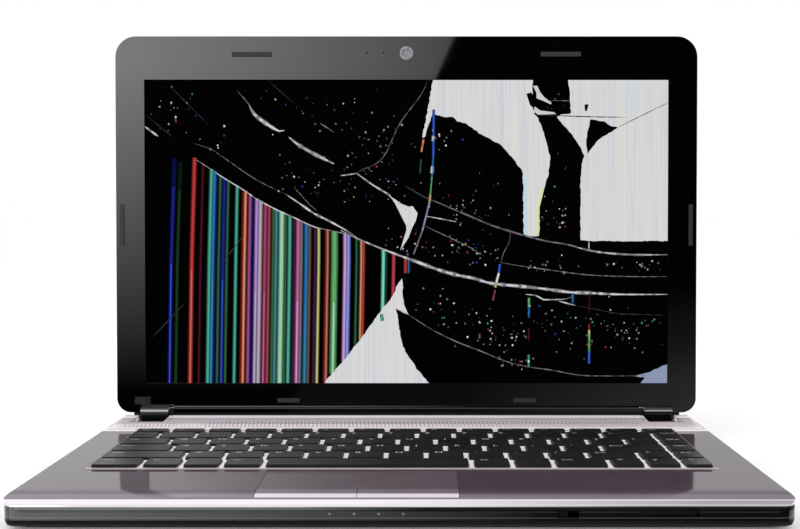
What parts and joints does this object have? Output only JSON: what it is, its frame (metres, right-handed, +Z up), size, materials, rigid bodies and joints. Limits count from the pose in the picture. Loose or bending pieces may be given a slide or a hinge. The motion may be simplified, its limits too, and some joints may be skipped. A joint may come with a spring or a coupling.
{
  "type": "broken laptop",
  "caption": "Open notebook computer with a cracked, partly lit display, full keyboard, touchpad with two buttons and a friction-hinged lid.",
  "frame": {"origin": "centre of the bounding box footprint of the opened machine, on the surface that the rubber feet stand on", "axes": "+X to the right of the user, +Y away from the user towards the lid, +Z up; lid shown open at the rest pose"},
  "size_m": [0.326, 0.2362, 0.2283],
  "materials": {
    "gloss_black": "gloss black",
    "lid_black": "gloss black",
    "bezel_black": "high gloss black",
    "hinge_black": "satin black",
    "cap_black": "matt black",
    "mauve_case": "gloss lacquer, grey mauve",
    "mauve_grille": "satin light mauve",
    "key_plate": "satin light grey",
    "key_black": "satin black",
    "touchpad": "satin grey mauve",
    "pad_buttons": "gloss grey mauve",
    "power_button": "satin light mauve",
    "small_black": "matt black",
    "lamp": "milky",
    "board_green": "solder mask",
    "copper": "brushed copper",
    "drive_metal": "satin",
    "port_steel": "bright",
    "rubber": "matt",
    "screw_steel": "blackened",
    "hinge_steel": "blackened",
    "lcd_glass": "gloss, cracked",
    "backlight": "diffuse white",
    "cable": "matt",
    "lens": "gloss",
    "bumper_rubber": "matt"
  },
  "bodies": {
    "base": {"bottom_cover": "gloss_black", "top_case": "mauve_case", "speaker_grille": "mauve_grille", "keyboard_frame": "key_plate", "touchpad": "touchpad", "card_slot_blank": "small_black", "status_lights": "lamp", "motherboard": "board_green", "heat_pipe": "copper", "fan_housing": "small_black", "battery_pack": "small_black", "hard_drive": "drive_metal", "memory_module": "board_green", "wireless_card": "board_green", "speakers": "small_black", "side_ports": "port_steel", "audio_jacks": "small_black", "power_inlet": "small_black", "rubber_feet": "rubber", "case_screws": "screw_steel", "hinge_brackets": "hinge_steel"},
    "lid": {"lid_cover": "lid_black", "lid_bezel": "bezel_black", "lcd_panel": "lcd_glass", "lcd_backlight": "backlight", "display_cable": "cable", "webcam_module": "board_green", "webcam_lens": "lens", "lid_bumpers": "bumper_rubber", "lid_screw_caps": "cap_black", "hinge_arms": "hinge_steel", "hinge_covers": "hinge_black"},
    "key_escape": {"key_escape": "key_black"},
    "function_keys": {"function_keys": "key_black"},
    "key_delete": {"key_delete": "key_black"},
    "number_keys": {"number_keys": "key_black"},
    "key_backspace": {"key_backspace": "key_black"},
    "navigation_keys": {"navigation_keys": "key_black"},
    "key_tab": {"key_tab": "key_black"},
    "upper_letter_keys": {"upper_letter_keys": "key_black"},
    "key_caps_lock": {"key_caps_lock": "key_black"},
    "home_letter_keys": {"home_letter_keys": "key_black"},
    "key_enter": {"key_enter": "key_black"},
    "key_shift_left": {"key_shift_left": "key_black"},
    "lower_letter_keys": {"lower_letter_keys": "key_black"},
    "key_shift_right": {"key_shift_right": "key_black"},
    "key_ctrl_left": {"key_ctrl_left": "key_black"},
    "modifier_keys": {"modifier_keys": "key_black"},
    "space_bar": {"space_bar": "key_black"},
    "key_ctrl_right": {"key_ctrl_right": "key_black"},
    "key_arrow_up": {"key_arrow_up": "key_black"},
    "key_arrow_left": {"key_arrow_left": "key_black"},
    "key_arrow_down": {"key_arrow_down": "key_black"},
    "key_arrow_right": {"key_arrow_right": "key_black"},
    "touchpad_button_left": {"touchpad_button_left": "pad_buttons"},
    "touchpad_button_right": {"touchpad_button_right": "pad_buttons"},
    "power_button": {"power_button": "power_button"},
    "wireless_switch": {"wireless_switch": "small_black"},
    "fan_rotor": {"fan_rotor": "small_black"}
  },
  "joints": [
    {"name": "lid_hinge", "type": "hinge", "parent": "base", "child": "lid", "pos_m": [0, 0.09475, 0.0177], "axis": [1, 0, 0], "range_deg": [-35.4, 94.85]},
    {"name": "key_escape_press", "type": "slide", "parent": "base", "child": "key_escape", "axis": [0, 0, -1], "range_m": [0, 0.0016], "stiffness_N_per_m": 250, "springref_m": -0.0008},
    {"name": "function_keys_press", "type": "slide", "parent": "base", "child": "function_keys", "axis": [0, 0, -1], "range_m": [0, 0.0016], "stiffness_N_per_m": 3250, "springref_m": -0.0008},
    {"name": "key_delete_press", "type": "slide", "parent": "base", "child": "key_delete", "axis": [0, 0, -1], "range_m": [0, 0.0016], "stiffness_N_per_m": 250, "springref_m": -0.0008},
    {"name": "number_keys_press", "type": "slide", "parent": "base", "child": "number_keys", "axis": [0, 0, -1], "range_m": [0, 0.0016], "stiffness_N_per_m": 3250, "springref_m": -0.0008},
    {"name": "key_backspace_press", "type": "slide", "parent": "base", "child": "key_backspace", "axis": [0, 0, -1], "range_m": [0, 0.0016], "stiffness_N_per_m": 250, "springref_m": -0.0008},
    {"name": "navigation_keys_press", "type": "slide", "parent": "base", "child": "navigation_keys", "axis": [0, 0, -1], "range_m": [0, 0.0016], "stiffness_N_per_m": 1000, "springref_m": -0.0008},
    {"name": "key_tab_press", "type": "slide", "parent": "base", "child": "key_tab", "axis": [0, 0, -1], "range_m": [0, 0.0016], "stiffness_N_per_m": 250, "springref_m": -0.0008},
    {"name": "upper_letter_keys_press", "type": "slide", "parent": "base", "child": "upper_letter_keys", "axis": [0, 0, -1], "range_m": [0, 0.0016], "stiffness_N_per_m": 3250, "springref_m": -0.0008},
    {"name": "key_caps_lock_press", "type": "slide", "parent": "base", "child": "key_caps_lock", "axis": [0, 0, -1], "range_m": [0, 0.0016], "stiffness_N_per_m": 250, "springref_m": -0.0008},
    {"name": "home_letter_keys_press", "type": "slide", "parent": "base", "child": "home_letter_keys", "axis": [0, 0, -1], "range_m": [0, 0.0016], "stiffness_N_per_m": 2750, "springref_m": -0.0008},
    {"name": "key_enter_press", "type": "slide", "parent": "base", "child": "key_enter", "axis": [0, 0, -1], "range_m": [0, 0.0016], "stiffness_N_per_m": 250, "springref_m": -0.0008},
    {"name": "key_shift_left_press", "type": "slide", "parent": "base", "child": "key_shift_left", "axis": [0, 0, -1], "range_m": [0, 0.0016], "stiffness_N_per_m": 250, "springref_m": -0.0008},
    {"name": "lower_letter_keys_press", "type": "slide", "parent": "base", "child": "lower_letter_keys", "axis": [0, 0, -1], "range_m": [0, 0.0016], "stiffness_N_per_m": 2500, "springref_m": -0.0008},
    {"name": "key_shift_right_press", "type": "slide", "parent": "base", "child": "key_shift_right", "axis": [0, 0, -1], "range_m": [0, 0.0016], "stiffness_N_per_m": 250, "springref_m": -0.0008},
    {"name": "key_ctrl_left_press", "type": "slide", "parent": "base", "child": "key_ctrl_left", "axis": [0, 0, -1], "range_m": [0, 0.0016], "stiffness_N_per_m": 250, "springref_m": -0.0008},
    {"name": "modifier_keys_press", "type": "slide", "parent": "base", "child": "modifier_keys", "axis": [0, 0, -1], "range_m": [0, 0.0016], "stiffness_N_per_m": 1250, "springref_m": -0.0008},
    {"name": "space_bar_press", "type": "slide", "parent": "base", "child": "space_bar", "axis": [0, 0, -1], "range_m": [0, 0.0016], "stiffness_N_per_m": 250, "springref_m": -0.0008},
    {"name": "key_ctrl_right_press", "type": "slide", "parent": "base", "child": "key_ctrl_right", "axis": [0, 0, -1], "range_m": [0, 0.0016], "stiffness_N_per_m": 250, "springref_m": -0.0008},
    {"name": "key_arrow_up_press", "type": "slide", "parent": "base", "child": "key_arrow_up", "axis": [0, 0, -1], "range_m": [0, 0.0016], "stiffness_N_per_m": 250, "springref_m": -0.0008},
    {"name": "key_arrow_left_press", "type": "slide", "parent": "base", "child": "key_arrow_left", "axis": [0, 0, -1], "range_m": [0, 0.0016], "stiffness_N_per_m": 250, "springref_m": -0.0008},
    {"name": "key_arrow_down_press", "type": "slide", "parent": "base", "child": "key_arrow_down", "axis": [0, 0, -1], "range_m": [0, 0.0016], "stiffness_N_per_m": 250, "springref_m": -0.0008},
    {"name": "key_arrow_right_press", "type": "slide", "parent": "base", "child": "key_arrow_right", "axis": [0, 0, -1], "range_m": [0, 0.0016], "stiffness_N_per_m": 250, "springref_m": -0.0008},
    {"name": "touchpad_button_left_press", "type": "slide", "parent": "base", "child": "touchpad_button_left", "axis": [0, 0, -1], "range_m": [0, 0.0005], "stiffness_N_per_m": 1500, "springref_m": -0.0004},
    {"name": "touchpad_button_right_press", "type": "slide", "parent": "base", "child": "touchpad_button_right", "axis": [0, 0, -1], "range_m": [0, 0.0005], "stiffness_N_per_m": 1500, "springref_m": -0.0004},
    {"name": "power_button_press", "type": "slide", "parent": "base", "child": "power_button", "axis": [0, 0.0251, -0.9997], "range_m": [0, 0.0006], "stiffness_N_per_m": 800, "springref_m": -0.0006},
    {"name": "wireless_switch_slide", "type": "slide", "parent": "base", "child": "wireless_switch", "axis": [1, 0, 0], "range_m": [0, 0.004]},
    {"name": "fan_spin", "type": "hinge", "parent": "base", "child": "fan_rotor", "pos_m": [-0.11, 0.0114, 0.005], "axis": [0, 0, 1], "continuous": true}
  ]
}
